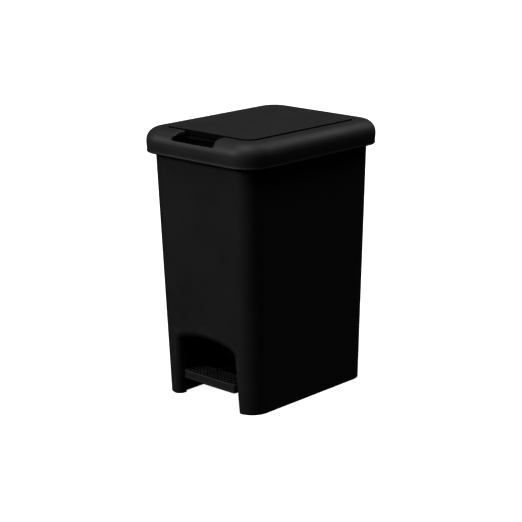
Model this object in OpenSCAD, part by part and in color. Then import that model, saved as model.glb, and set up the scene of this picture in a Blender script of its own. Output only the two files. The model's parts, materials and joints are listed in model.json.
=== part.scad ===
// Rectangular pedal trash can: tapered body, domed collar and a flush flap lid.
// The pedal rocks on an axle under the raised floor and lifts a push rod at the back,
// and the rod lifts the lid by a nose just in front of its hinge.
// Millimetres, +Z up, front towards -Y, origin on the floor under the collar's centre.

/* [Body] */
// Width of the body at the floor
body_w_bottom = 199; // [192:1:204]
// Length of the body at the floor, front to back
body_l_bottom = 277; // [270:1:280]
// Width of the body at its rim
body_w_top = 221; // [216:1:223]
// Length of the body at its rim
body_l_top = 297; // [292:1:299]
// Height of the body's rim
body_h = 410; // [408:1:412]
// How far the foot of the body sits behind the collar's centre
bottom_shift = 9; // [6:0.5:9.5]
// Wall thickness of the body
wall = 2.5; // [2:0.1:2.8]
// Height of the underside of the raised floor
floor_z = 58; // [57:1:62]

/* [Pedal recess] */
// Clear width of the recess at the spring of its arch
recess_w = 117; // [116:1:126]
// How much wider the recess is at the floor, on each side
recess_spread = 5; // [2:0.5:6]
// Height at which the arch springs from the side walls
recess_spring = 96; // [94:1:104]
// Rise of the arch above its spring
recess_rise = 10.5; // [6:0.5:12]
// Back of the recess, measured from the collar's centre
recess_back_y = -62; // [-66:1:-58]

/* [Collar] */
// Overall width of the collar
collar_w = 248; // [246:1:250]
// Overall length of the collar
collar_l = 324; // [322:1:328]
// Height of the collar's lower edge
collar_z = 400; // [398:1:402]
// Corner radius of the collar in plan
collar_r = 44; // [40:1:46]
// Radius of the domed upper edge
collar_round = 22; // [20:1:23]
// Skin thickness of the collar
collar_t = 3; // [2.5:0.1:3.2]
// Width of the lid opening
opening_w = 186.8; // [185:0.1:188]
// Length of the lid opening
opening_l = 260.6; // [259:0.1:262]
// Corner radius of the lid opening
opening_r = 21; // [20:1:24]
// Clear width of the mouth below the lid
mouth_w = 168; // [164:1:170]
// Clear width of the finger notch
notch_w = 83; // [78:1:88]

/* [Lid] */
// Height of the top of the lid, which is the overall height
lid_top = 441; // [440.6:0.1:441.5]
// Gap all round the lid
lid_gap = 1.3; // [1.2:0.1:1.6]
// Distance of the hinge axis behind the collar's centre
hinge_y = 116; // [115:1:117]
// Opening angle of the lid
lid_angle = 80; // [70:1:82]

/* [Pedal] */
// Width of the tread
tread_w = 112; // [104:1:116]
// Depth of the tread, front to back
tread_d = 40; // [36:1:42]
// Height of the top of the tread at rest
tread_top = 43; // [42:1:44]
// Angle that the pedal travels
pedal_angle = 11.5; // [10:0.5:11.5]

/* [Hidden] */
$fn = 64;
eps = 0.01;

// body
body_r_bottom = 30;
body_r_top = 32.5;
floor_t = 3;
recess_front_y = -160;
jamb_lift = 3;
jamb_front_y = -122;
recess_shoulder = 11;
shoulder_steps = 8;
arch_steps = 10;
rod_hole_r = 6;
pilot_depth = 13.5;
flange_pilot = 2.5;

// base plate and what hangs from it
plate_z = 3;
plate_t = 2.5;
plate_front_y = -36;
plate_fit = 0.4;
pad_seat = 1;
post_r = 4.5;
post_spots = [[-60, -24], [60, -24], [-60, 126], [60, 126]];
pad_spots = [[-82, -22], [82, -22], [-74, 126], [74, 126]];
pad_r = 8;
screw_r = 1.5;
screw_head_r = 3.2;
screw_head_t = 1.5;
base_screw_l = 15;

// pedal axle and brackets
axle_y = 10;
axle_z = 26;
axle_r = 3;
running_gap = 0.06;
hub_r = 8;
hub_half = 36.5;
bracket_x = 37;
bracket_t = 6;
bracket_half = 10;
flange_t = 4;
flange_reach = 22;
bracket_screw_dy = 6;
axle_half = 48;
axle_cap_r = 6;
axle_cap_t = 3;

// lever, nose and rod
rod_y = 102;
rod_r = 3;
nose_z = 14;
nose_r = 6;
nose_half = 10;
nose_grip = 12;
nose_block_h = 10;
arm_hub_half = 6;
arm_end_half = 4;
lever_half = 7;
contact_gap = 0.4;
nose_reach = rod_y - axle_y;
nose_start = atan2(nose_z - axle_z, nose_reach);
nose_radius = norm([nose_reach, nose_z - axle_z]);
rod_stroke = nose_radius*(sin(nose_start + pedal_angle) - sin(nose_start));
shoe_half = 9;
shoe_z = nose_z + nose_r + contact_gap;
shoe_h = 9.6;
shoe_l = 16;
shoe_web = 2;

// tread
tread_front_y = -126.6;
tread_h = 14;
tread_t = 2.5;
tread_r = 4;
tread_skin = 3.5;
tread_y = tread_front_y + tread_d/2;
tread_recess = 1;
pad_w = tread_w - 8;
pad_l = tread_d - 9;
pad_r_corner = 3;
pad_t = 0.8;
pad_rows = 8;
pad_rib_h = 0.6;
pad_rib_w = tread_w - 14;
pad_pitch = (tread_d - 12)/pad_rows;
rail_x = 21;
rail_t = 6;
rail_top = tread_top - tread_skin;
rail_bottom = 33;
rail_front_y = tread_y - 10;
rail_bend_y = tread_y + 26;
rail_heel_y = tread_y + 16;
rail_sag = 2;
tread_screw_y = -108;
tread_screw_l = 8;

// collar
collar_top = collar_z + 40;
ledge_z = 430;
ledge_t = 2.5;
well_front_y = 88;
deck_z = 404;
mouth_front_y = -121;
mouth_r = 16;
notch_back_y = -opening_l/2;
notch_lip_z = 426.4;
notch_wall = 4;
notch_front_y = notch_wall - collar_l/2;
notch_floor_z = 413;
notch_t = 2.2;
web_t = 2;
web_top = 436;
web_inner_x = opening_w/2 + 1;
web_inner_y = opening_l/2 + 1;
rim_gap = 0.3;
rim_slack = 0.7;
side_web_spots = [-90, -30, 30, 90];
end_web_spots = [-62, 62];
pin_reach = 7;

// lid
lid_w = opening_w - 2*lid_gap;
lid_l = opening_l - 2*lid_gap;
lid_r = opening_r - lid_gap;
lid_t = 2.6;
lid_rim = 2.2;
lid_bottom = 432;
lid_boss_r = 4;
hinge_z = lid_top - 3;
pin_r = 2;
pin_inner_x = 81;
bearing_half = 4;
lid_round = 1.8;
liner_t = 2;
liner_fit = 0.2;
liner_rear_y = 124;
liner_side_rear_y = hinge_y - 8;
liner_rib_t = 2;
liner_long_ribs = [-30, 30];
liner_cross_ribs = [-75, -25, 40];
liner_rib_l = 220;
liner_rib_inset = 6;
crank_r = rod_stroke/(2*sin(lid_angle/2));
crank_y = hinge_y - crank_r*cos(lid_angle/2);
crank_z = hinge_z - crank_r*sin(lid_angle/2);
crank_nose_r = 3.5;
crank_nose_half = 6;
crank_plate_t = 2.5;
crank_half = 16;
crank_plate_half = 7;
crank_screw_x = 12;
crank_gap = 0.7;
cap_r = 5.5;
cap_top = crank_z - crank_nose_r - crank_gap;
cap_h = 13;
cap_wall = 4;
cap_clear = 1.5;
liner_screw_spots = [[-60, -100], [60, -100], [-60, 0], [60, 0], [-60, 90], [60, 90]];
bumper_spots = [[-88.6, -70], [88.6, -70], [-88.6, 50], [88.6, 50]];
bumper_r = 3.5;
bumper_gap = 0.3;

// rod duct
duct_half = 16.5;
duct_t = 2.5;
duct_front_y = 91.5;
duct_back_y = 145;
duct_top = 398;
duct_flange = 28;
duct_screw_spots = [[-22, 120], [22, 120], [-22, 340], [22, 340]];
guide_z = 384;
guide_h = 8;
guide_l = 34;
bush_below = 4;
bush_r = 6;
bush_flange_r = 7.5;
bush_flange_t = 2;
duct_pilot = 2;

shell_black = [0.09, 0.09, 0.095];
collar_black = [0.12, 0.12, 0.125];
lid_black = [0.11, 0.11, 0.115];
steel = [0.62, 0.63, 0.65];
nylon = [0.82, 0.82, 0.79];
rubber = [0.05, 0.05, 0.05];

// ---------- shared shapes ----------

function along_body(bottom, top, z) = bottom + (top - bottom)*z/body_h;

module rounded_rect(w, l, r) {
    square([w - 2*r, l], center = true);
    square([w, l - 2*r], center = true);
    for (sx = [-1, 1], sy = [-1, 1])
        translate([sx*(w/2 - r), sy*(l/2 - r)]) circle(r);
}

// One thin level slice of the tapered body, drawn in by inset
module body_slice(z, inset) {
    translate([0, along_body(bottom_shift, 0, z), z])
        linear_extrude(eps)
            rounded_rect(
                along_body(body_w_bottom, body_w_top, z) - 2*inset,
                along_body(body_l_bottom, body_l_top, z) - 2*inset,
                along_body(body_r_bottom, body_r_top, z) - inset
            );
}

module tapered_block(z0, z1, inset) {
    hull() {
        body_slice(z0, inset);
        body_slice(z1 - eps, inset);
    }
}

// Extrudes a (y, z) outline from x0 to x1
module across(x0, x1) {
    translate([x0, 0, 0]) rotate([90, 0, 90]) linear_extrude(x1 - x0) children();
}

// Extrudes an (x, z) outline from y0 to y1
module lengthwise(y0, y1) {
    translate([0, y1, 0]) rotate([90, 0, 0]) linear_extrude(y1 - y0) children();
}

// Stands a plan outline between two heights
module raised(z0, z1) {
    translate([0, 0, z0]) linear_extrude(z1 - z0) children();
}

module rod_across(x0, x1, y, z, r) {
    translate([x0, y, z]) rotate([0, 90, 0]) cylinder(h = x1 - x0, r = r);
}

module upright(spot, z0, z1, r) {
    translate([spot[0], spot[1], z0]) cylinder(h = z1 - z0, r = r);
}

// Cylinder pointing to the back, at an (x, z) spot
module backwards(spot, y0, y1, r) {
    translate([spot[0], y0, spot[1]]) rotate([-90, 0, 0]) cylinder(h = y1 - y0, r = r);
}

// Screw pointing up, with its head below z
module screw_up(spot, z, length) {
    upright(spot, z - screw_head_t, z, screw_head_r);
    upright(spot, z - eps, z + length, screw_r);
}

// Half outline of a block whose upper outer edge is a quarter round
module round_edge(reach, z0, z1, round) {
    translate([0, z0]) square([reach, z1 - z0 - round]);
    translate([0, z0]) square([reach - round, z1 - z0]);
    intersection() {
        translate([reach - round, z1 - round]) circle(round);
        translate([reach - round, z1 - round]) square(round);
    }
}

module round_edge_pair(reach, z0, z1, round) {
    round_edge(reach, z0, z1, round);
    mirror([1, 0]) round_edge(reach, z0, z1, round);
}

// Block with round corners in plan and a quarter-round upper edge
module dome_block(w, l, r, z0, z1, round) {
    lengthwise(r - l/2, l/2 - r) round_edge_pair(w/2, z0, z1, round);
    across(r - w/2, w/2 - r) round_edge_pair(l/2, z0, z1, round);
    for (sx = [-1, 1], sy = [-1, 1])
        translate([sx*(w/2 - r), sy*(l/2 - r), 0])
            rotate_extrude() round_edge(r, z0, z1, round);
}

// ---------- body ----------

// Right half of the recess: a side that spreads towards the floor, a round shoulder and half an arch
function recess_points(grow, z0) =
    let (
        half = recess_w/2 + grow,
        radius = (half*half + recess_rise*recess_rise)/(2*recess_rise),
        arch_z = recess_spring + recess_rise + grow - radius,
        shoulder = recess_shoulder + grow,
        shoulder_x = half - shoulder,
        lift = sqrt((radius - shoulder)*(radius - shoulder) - shoulder_x*shoulder_x),
        tilt = atan2(lift, shoulder_x)
    )
    concat(
        [[half + recess_spread*(arch_z + lift - z0)/recess_spring, z0]],
        [for (i = [0 : shoulder_steps])
            let (a = tilt*i/shoulder_steps)
            [shoulder_x + shoulder*cos(a), arch_z + lift + shoulder*sin(a)]],
        [for (i = [1 : arch_steps])
            let (a = tilt + (90 - tilt)*i/arch_steps)
            [radius*cos(a), arch_z + radius*sin(a)]]
    );

module recess_outline(grow, z0) {
    for (s = [0, 1])
        mirror([s, 0]) polygon(concat(recess_points(grow, z0), [[-eps, recess_spring], [-eps, z0]]));
}

module recess_walls() {
    intersection() {
        tapered_block(0, recess_spring + 2*recess_rise, 0);
        lengthwise(recess_front_y, recess_back_y + wall) recess_outline(wall, 0);
    }
}

module recess_space() {
    lengthwise(recess_front_y, recess_back_y) recess_outline(0, -1);
    // the space runs on under the raised floor
    translate([-recess_w/2, recess_back_y - 1, -1]) cube([recess_w, wall + 2, floor_z + 1]);
    // the side walls stop short of the floor behind the front wall
    for (s = [-1, 1])
        translate([s*(recess_w/2 + recess_spread + wall/2) - 1.5*wall, jamb_front_y, -1])
            cube([3*wall, recess_back_y + 2*wall - jamb_front_y, jamb_lift + 1]);
}

module body_shell() {
    color(shell_black)
    difference() {
        union() {
            difference() {
                tapered_block(0, body_h, 0);
                tapered_block(floor_z + floor_t, body_h + 1, wall);
                tapered_block(-1, floor_z, wall);
            }
            recess_walls();
            for (spot = post_spots) upright(spot, plate_z + plate_t, floor_z + eps, post_r);
        }
        recess_space();
        upright([0, rod_y], floor_z - 1, floor_z + floor_t + 1, rod_hole_r);
        for (spot = post_spots) upright(spot, plate_z, plate_z + plate_t + pilot_depth, screw_r);
        for (spot = bracket_screw_spots()) upright(spot, floor_z - 1, floor_z + flange_pilot, screw_r);
        for (spot = duct_screw_spots) backwards(spot, duct_back_y - 1, duct_back_y + duct_pilot, screw_r);
    }
}

module base_plate() {
    color(shell_black)
    difference() {
        intersection() {
            translate([0, bottom_shift, plate_z])
                linear_extrude(plate_t)
                    rounded_rect(
                        body_w_bottom - 2*(wall + plate_fit),
                        body_l_bottom - 2*(wall + plate_fit),
                        body_r_bottom - wall - plate_fit
                    );
            translate([-body_w_bottom/2, plate_front_y, 0])
                cube([body_w_bottom, body_l_bottom, plate_z + plate_t + 1]);
        }
        for (spot = post_spots) upright(spot, plate_z - 1, plate_z + plate_t + 1, screw_r);
        for (spot = pad_spots) upright(spot, plate_z - 1, plate_z + pad_seat, pad_r);
    }
}

module base_screws() {
    color(steel)
    for (spot = post_spots) screw_up(spot, plate_z, base_screw_l);
}

module foot_pads() {
    color(rubber)
    for (spot = pad_spots) upright(spot, 0, plate_z + pad_seat, pad_r);
}

// ---------- pedal axle and its brackets ----------

function bracket_screw_spots() = [
    for (s = [-1, 1], t = [-1, 1])
        [s*(bracket_x + (bracket_t + flange_reach)/2), axle_y + t*bracket_screw_dy]
];

// Bracket on the right-hand side
module axle_bracket() {
    difference() {
        union() {
            across(bracket_x, bracket_x + bracket_t) {
                translate([axle_y, axle_z]) circle(bracket_half);
                translate([axle_y - bracket_half, axle_z]) square([2*bracket_half, floor_z - axle_z]);
            }
            translate([bracket_x, axle_y - bracket_half, floor_z - flange_t])
                cube([flange_reach, 2*bracket_half, flange_t]);
        }
        rod_across(bracket_x - 1, bracket_x + bracket_t + 1, axle_y, axle_z, axle_r);
        for (spot = bracket_screw_spots())
            upright(spot, floor_z - flange_t - 1, floor_z + 1, screw_r);
    }
}

module axle_bracket_left() {
    color(shell_black) mirror([1, 0, 0]) axle_bracket();
}

module axle_bracket_right() {
    color(shell_black) axle_bracket();
}

module bracket_screws() {
    color(steel)
    for (spot = bracket_screw_spots()) screw_up(spot, floor_z - flange_t, flange_t + flange_pilot - 0.1);
}

module pedal_axle() {
    color(steel) rod_across(-axle_half, axle_half, axle_y, axle_z, axle_r);
}

module axle_caps() {
    color(nylon)
    for (s = [-1, 1])
        mirror([s < 0 ? 1 : 0, 0, 0])
            difference() {
                rod_across(bracket_x + bracket_t, bracket_x + bracket_t + axle_cap_t, axle_y, axle_z, axle_cap_r);
                rod_across(bracket_x, bracket_x + 2*bracket_t, axle_y, axle_z, axle_r);
            }
}

// ---------- pedal ----------

module lever_arm_outline() {
    end_y = rod_y - nose_r + 2;
    polygon([
        [axle_y, axle_z + arm_hub_half], [end_y, nose_z + arm_end_half],
        [end_y, nose_z - arm_end_half], [axle_y, axle_z - arm_hub_half]
    ]);
}

module lever_rail_outline() {
    polygon([
        [rail_front_y, rail_top], [rail_bend_y, rail_top], [axle_y, axle_z + arm_hub_half],
        [axle_y, axle_z - arm_hub_half + 1], [rail_bend_y, rail_bottom - rail_sag],
        [rail_heel_y, rail_bottom], [rail_front_y, rail_bottom]
    ]);
}

module pedal_lever() {
    color(steel)
    difference() {
        union() {
            rod_across(-hub_half, hub_half, axle_y, axle_z, hub_r);
            across(-lever_half, lever_half) lever_arm_outline();
            for (x = [-rail_x - rail_t, rail_x]) across(x, x + rail_t) lever_rail_outline();
        }
        rod_across(-hub_half - 1, hub_half + 1, axle_y, axle_z, axle_r + running_gap);
        for (s = [-1, 1])
            upright([s*(rail_x + rail_t/2), tread_screw_y], rail_bottom - 1, rail_top + 1, screw_r);
    }
}

module lever_nose() {
    color(nylon)
    difference() {
        union() {
            rod_across(-nose_half, nose_half, rod_y, nose_z, nose_r);
            translate([-nose_half, rod_y - nose_grip, nose_z - nose_block_h/2])
                cube([2*nose_half, nose_grip, nose_block_h]);
        }
        across(-lever_half, lever_half) lever_arm_outline();
    }
}

module tread_outline(inset, r) {
    translate([0, tread_y]) rounded_rect(tread_w - 2*inset, tread_d - 2*inset, r);
}

module pad_outline() {
    translate([0, tread_y]) rounded_rect(pad_w, pad_l, pad_r_corner);
}

module pedal_tread() {
    tread_bottom = tread_top - tread_h;
    color(collar_black)
    difference() {
        raised(tread_bottom, tread_top) tread_outline(0, tread_r);
        raised(tread_bottom - 1, rail_top) tread_outline(tread_t, tread_r - tread_t + 0.5);
        raised(tread_top - tread_recess, tread_top + 1) pad_outline();
        // slots in the rear wall for the lever's rails
        for (x = [-rail_x - rail_t, rail_x])
            translate([x, tread_y, tread_bottom - 1]) cube([rail_t, tread_d, rail_top - tread_bottom + 1]);
        for (s = [-1, 1])
            upright([s*(rail_x + rail_t/2), tread_screw_y], rail_bottom, rail_bottom + tread_screw_l + 0.4, screw_r);
    }
}

module tread_pad() {
    base_z = tread_top - tread_recess;
    color(rubber)
    union() {
        raised(base_z, base_z + pad_t) pad_outline();
        for (i = [0 : pad_rows - 1])
            translate([-pad_rib_w/2, tread_y + (i - pad_rows/2 + 0.25)*pad_pitch, base_z + pad_t - eps])
                cube([pad_rib_w, pad_pitch/2, pad_rib_h]);
    }
}

module tread_screws() {
    color(steel)
    for (s = [-1, 1]) screw_up([s*(rail_x + rail_t/2), tread_screw_y], rail_bottom, tread_screw_l);
}

// ---------- push rod ----------

module push_rod() {
    color(steel) upright([0, rod_y], shoe_z + shoe_web, cap_top - cap_wall, rod_r);
}

module rod_cap() {
    color(nylon)
    difference() {
        upright([0, rod_y], cap_top - cap_h, cap_top, cap_r);
        upright([0, rod_y], cap_top - cap_h - 1, cap_top - cap_wall, rod_r);
    }
}

module rod_shoe() {
    color(nylon)
    difference() {
        translate([-shoe_half, rod_y - shoe_l/2, shoe_z]) cube([2*shoe_half, shoe_l, shoe_h]);
        upright([0, rod_y], shoe_z + shoe_web, shoe_z + shoe_h + 1, rod_r);
    }
}

module rod_guide_lower() {
    flange_z = floor_z + floor_t;
    color(nylon)
    difference() {
        union() {
            upright([0, rod_y], floor_z - bush_below, flange_z + eps, bush_r);
            upright([0, rod_y], flange_z, flange_z + bush_flange_t, bush_flange_r);
        }
        upright([0, rod_y], floor_z - bush_below - 1, flange_z + bush_flange_t + 1, rod_r + running_gap);
    }
}

module rod_guide_upper() {
    half = duct_half - duct_t;
    color(nylon)
    difference() {
        translate([-half, duct_front_y + duct_t, guide_z]) cube([2*half, guide_l, guide_h]);
        upright([0, rod_y], guide_z - 1, guide_z + guide_h + 1, rod_r + running_gap);
    }
}

module rod_duct() {
    foot_z = floor_z + floor_t;
    duct_h = duct_top - foot_z;
    duct_l = duct_back_y - duct_front_y;
    color(shell_black)
    difference() {
        union() {
            translate([-duct_half, duct_front_y, foot_z]) cube([2*duct_half, duct_l, duct_h]);
            translate([-duct_flange, duct_back_y - duct_t, foot_z]) cube([2*duct_flange, duct_t, duct_h]);
        }
        translate([duct_t - duct_half, duct_front_y + duct_t, foot_z - 1])
            cube([2*(duct_half - duct_t), duct_l, duct_h + 2]);
        for (spot = duct_screw_spots) backwards(spot, duct_back_y - duct_t - 1, duct_back_y + 1, screw_r);
    }
}

module duct_screws() {
    head_y = duct_back_y - duct_t;
    color(steel)
    for (spot = duct_screw_spots) {
        backwards(spot, head_y - screw_head_t, head_y, screw_head_r);
        backwards(spot, head_y - eps, duct_back_y + duct_pilot, screw_r);
    }
}

// ---------- collar ----------

module mouth_outline(grow) {
    length = well_front_y - mouth_front_y;
    translate([0, (well_front_y + mouth_front_y)/2])
        rounded_rect(mouth_w + 2*grow, length + 2*grow, mouth_r + grow);
}

module opening_outline(grow) {
    rounded_rect(opening_w + 2*grow, opening_l + 2*grow, opening_r + grow);
}

// Ribs inside the hollow collar: they rest on the body's rim and centre the collar in it
module collar_webs() {
    inside_x = body_w_top/2 - wall - rim_slack;
    inside_y = body_l_top/2 - wall - rim_slack;
    seat = body_h + rim_gap;
    outside_x = collar_w/2 - collar_t - 1;
    outside_y = collar_l/2 - collar_t - 1;
    for (s = [0, 1], y = side_web_spots)
        mirror([s, 0, 0])
            lengthwise(y - web_t/2, y + web_t/2) web_outline(web_inner_x, inside_x, outside_x, seat);
    for (s = [0, 1], x = end_web_spots)
        mirror([0, s, 0])
            across(x - web_t/2, x + web_t/2) web_outline(web_inner_y, inside_y, outside_y, seat);
}

// A web hangs down inside the body and steps outwards over the rim
module web_outline(inner, inside, outside, seat) {
    translate([inner, deck_z - 2]) square([inside - inner, web_top - deck_z + 2]);
    translate([inner, seat]) square([outside - inner, 428 - seat]);
}

// Solid block that the finger notch is cut from, inside the collar's outline
module notch_block() {
    intersection() {
        dome_block(collar_w, collar_l, collar_r, collar_z, collar_top, collar_round);
        translate([-notch_w/2 - notch_t, -collar_l/2, notch_floor_z - notch_t])
            cube([notch_w + 2*notch_t, collar_l/2 + notch_back_y, collar_top - notch_floor_z]);
    }
}

// Finger room: the front is cut low, and behind it a pocket runs in under the ledge
module notch_space() {
    pocket_back_y = notch_back_y - ledge_t;
    above = collar_top + 1;
    across(-notch_w/2, notch_w/2) {
        translate([-collar_l/2 - 1, notch_lip_z])
            square([pocket_back_y + collar_l/2 + 1, above - notch_lip_z]);
        translate([notch_front_y, notch_floor_z])
            square([pocket_back_y - notch_front_y, above - notch_floor_z]);
        translate([pocket_back_y - 1, ledge_z]) square([ledge_t + 2, above - ledge_z]);
        translate([pocket_back_y - 1, notch_floor_z])
            square([ledge_t + 1 + eps, ledge_z - ledge_t - notch_floor_z]);
    }
}

// Thick spots in the side walls that the hinge pins are pressed into
module hinge_boss() {
    intersection() {
        for (s = [0, 1])
            mirror([s, 0, 0])
                rod_across(opening_w/2 + 1, opening_w/2 + pin_reach + 1, hinge_y, hinge_z - pin_r, 3*pin_r);
        raised(collar_z, collar_top - 1) opening_outline(pin_reach + 2);
    }
}

// Room behind the mouth, down to the deck, for the crank and the top of the rod
module hinge_well() {
    intersection() {
        raised(deck_z + ledge_t, ledge_z + eps) opening_outline(0);
        translate([-opening_w/2, well_front_y + ledge_t, deck_z]) cube([opening_w, opening_l, ledge_z]);
    }
}

// Hollow between the mouth and the opening's wall, under the ledge
module ledge_underside() {
    difference() {
        raised(deck_z - 1, ledge_z - ledge_t) opening_outline(0);
        raised(deck_z - 2, ledge_z) mouth_outline(ledge_t);
        translate([-opening_w/2, well_front_y, deck_z - 2]) cube([opening_w, opening_l, ledge_z]);
    }
}

module collar_ring() {
    color(collar_black)
    difference() {
        union() {
            difference() {
                dome_block(collar_w, collar_l, collar_r, collar_z, collar_top, collar_round);
                dome_block(
                    collar_w - 2*collar_t, collar_l - 2*collar_t, collar_r - collar_t,
                    collar_z - 1, collar_top - collar_t, collar_round - collar_t
                );
            }
            raised(deck_z, collar_top - 1) opening_outline(ledge_t);
            collar_webs();
            notch_block();
            hinge_boss();
        }
        raised(ledge_z, collar_top + 1) opening_outline(0);
        raised(deck_z - 3, collar_top) mouth_outline(0);
        ledge_underside();
        hinge_well();
        upright([0, rod_y], deck_z - 1, deck_z + ledge_t + 1, cap_r + cap_clear);
        rod_across(-opening_w/2 - pin_reach, opening_w/2 + pin_reach, hinge_y, hinge_z, pin_r);
        notch_space();
    }
}

module hinge_pin() {
    rod_across(pin_inner_x, opening_w/2 + pin_reach, hinge_y, hinge_z, pin_r);
}

module hinge_pin_left() {
    color(steel) mirror([1, 0, 0]) hinge_pin();
}

module hinge_pin_right() {
    color(steel) hinge_pin();
}

module lid_bumpers() {
    color(rubber)
    for (spot = bumper_spots) upright(spot, ledge_z, lid_bottom - bumper_gap, bumper_r);
}

// ---------- lid ----------

module lid_outline(grow) {
    rounded_rect(lid_w + 2*grow, lid_l + 2*grow, lid_r + grow);
}

// Blocks under the panel that the hinge pins run in
module lid_bearings() {
    top_z = lid_top - lid_t + eps;
    intersection() {
        raised(lid_bottom, lid_top) lid_outline(0);
        for (s = [0, 1])
            mirror([s, 0, 0])
                translate([pin_inner_x - 1, hinge_y - bearing_half, lid_bottom + 1])
                    cube([lid_w, 2*bearing_half, top_z - lid_bottom - 1]);
    }
}

module lid_panel() {
    boss_z = lid_bottom + liner_t;
    color(lid_black)
    difference() {
        union() {
            difference() {
                dome_block(lid_w, lid_l, lid_r, lid_bottom, lid_top, lid_round);
                raised(lid_bottom - 1, lid_top - lid_t) lid_outline(-lid_rim);
            }
            lid_bearings();
            for (spot = liner_screw_spots) upright(spot, boss_z, lid_top - 1, lid_boss_r);
        }
        for (s = [0, 1])
            mirror([s, 0, 0]) rod_across(pin_inner_x - 0.5, lid_w, hinge_y, hinge_z, pin_r + running_gap);
        for (spot = liner_screw_spots) upright(spot, lid_bottom, boss_z + lid_boss_r, screw_r);
    }
}

module liner_outline() {
    fit = lid_rim + liner_fit;
    front_y = fit - lid_l/2;
    side_x = lid_w/2 - fit;
    rear_x = pin_inner_x - 3;
    intersection() {
        lid_outline(-fit);
        union() {
            translate([-side_x, front_y]) square([2*side_x, liner_side_rear_y - front_y]);
            translate([-rear_x, front_y]) square([2*rear_x, liner_rear_y - front_y]);
        }
    }
}

module liner_ribs() {
    base_z = lid_bottom + liner_t - eps;
    rib_h = lid_top - lid_t - 0.1 - base_z;
    front_y = lid_rim + liner_rib_inset - lid_l/2;
    cross_x = lid_w/2 - lid_rim - liner_rib_inset;
    for (x = liner_long_ribs)
        translate([x - liner_rib_t/2, front_y, base_z]) cube([liner_rib_t, liner_rib_l, rib_h]);
    for (y = liner_cross_ribs)
        translate([-cross_x, y - liner_rib_t/2, base_z]) cube([2*cross_x, liner_rib_t, rib_h]);
}

module lid_liner() {
    color(shell_black)
    difference() {
        union() {
            raised(lid_bottom, lid_bottom + liner_t) liner_outline();
            liner_ribs();
        }
        for (spot = liner_screw_spots) upright(spot, lid_bottom - 1, lid_top, screw_r);
        for (s = [-1, 1]) upright([s*crank_screw_x, crank_y], lid_bottom - 1, lid_top, screw_r);
    }
}

module lid_crank() {
    plate_z = lid_bottom - crank_plate_t;
    color(nylon)
    difference() {
        union() {
            translate([-crank_half, crank_y - crank_plate_half, plate_z])
                cube([2*crank_half, 2*crank_plate_half, crank_plate_t]);
            rod_across(-crank_nose_half, crank_nose_half, crank_y, crank_z, crank_nose_r);
        }
        translate([-crank_half, crank_y - crank_plate_half, lid_bottom]) cube([2*crank_half, 2*crank_plate_half, 5]);
        // room behind the nose for the rod's cap while the lid is open
        translate([-cap_r - cap_clear, crank_y + crank_nose_r, plate_z - 1])
            cube([2*(cap_r + cap_clear), crank_plate_half, crank_plate_t + 2]);
        for (s = [-1, 1]) upright([s*crank_screw_x, crank_y], plate_z - 1, lid_bottom + 1, screw_r);
    }
}

module crank_screws() {
    color(steel)
    for (s = [-1, 1])
        screw_up([s*crank_screw_x, crank_y], lid_bottom - crank_plate_t, crank_plate_t + liner_t + 1);
}

module liner_screws() {
    color(steel)
    for (spot = liner_screw_spots) screw_up(spot, lid_bottom, liner_t + lid_boss_r - 0.2);
}

body_shell();
base_plate();
base_screws();
foot_pads();
axle_bracket_left();
axle_bracket_right();
bracket_screws();
pedal_axle();
axle_caps();
rod_duct();
duct_screws();
rod_guide_upper();
rod_guide_lower();
collar_ring();
hinge_pin_left();
hinge_pin_right();
lid_bumpers();
lid_panel();
lid_liner();
lid_crank();
crank_screws();
liner_screws();
pedal_lever();
pedal_tread();
tread_pad();
tread_screws();
lever_nose();
push_rod();
rod_cap();
rod_shoe();
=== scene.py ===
"""Looks of the pedal trash can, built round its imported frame.

Shapes are worked out in millimetres and turned into metres where a mesh is made. Noise scales, bump
depths and the camera are in metres.
"""

import json
import math

import bmesh
import bpy
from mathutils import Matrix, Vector


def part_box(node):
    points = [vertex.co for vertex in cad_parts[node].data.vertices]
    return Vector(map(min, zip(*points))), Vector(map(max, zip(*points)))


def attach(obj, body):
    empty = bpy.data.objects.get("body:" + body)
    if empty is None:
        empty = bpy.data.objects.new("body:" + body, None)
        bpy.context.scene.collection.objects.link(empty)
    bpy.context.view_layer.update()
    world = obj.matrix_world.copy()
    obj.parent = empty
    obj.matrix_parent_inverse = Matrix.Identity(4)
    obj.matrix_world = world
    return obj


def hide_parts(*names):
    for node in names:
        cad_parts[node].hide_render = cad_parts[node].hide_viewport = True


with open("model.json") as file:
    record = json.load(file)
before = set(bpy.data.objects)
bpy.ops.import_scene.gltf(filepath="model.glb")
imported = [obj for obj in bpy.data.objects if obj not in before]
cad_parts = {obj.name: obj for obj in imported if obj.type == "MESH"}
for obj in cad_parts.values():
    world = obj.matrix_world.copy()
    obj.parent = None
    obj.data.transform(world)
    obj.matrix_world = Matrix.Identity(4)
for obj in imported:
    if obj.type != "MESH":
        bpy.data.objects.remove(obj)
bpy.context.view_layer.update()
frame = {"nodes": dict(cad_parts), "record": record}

MM = 0.001
NODES = frame["nodes"]
BODY_OF = {
    node: body
    for body, members in frame["record"]["behaviour"]["bodies"].items()
    for node in members
}
SLOT_OF = {row["node"]: row["material_slot"] for row in frame["record"]["subparts"]}


# ---------- sizes read from the frame, in millimetres ----------

def box_mm(node):
    low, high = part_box(node)
    return Vector(low) / MM, Vector(high) / MM


COLLAR_W, COLLAR_L, COLLAR_TOP = box_mm("collar_ring")[1]
RIM_W, RIM_L, RIM_Z = box_mm("body_shell")[1]
lid_low, lid_high = box_mm("lid_panel")
tread_low, tread_high = box_mm("pedal_tread")
pad_low, pad_high = box_mm("tread_pad")
pin_low, pin_high = box_mm("hinge_pin_right")
pin_mid = (pin_low + pin_high) / 2
rod_low, rod_high = box_mm("push_rod")
ROD_Y = (rod_low.y + rod_high.y) / 2


# ---------- sizes that the boxes do not give, in millimetres ----------

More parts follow.
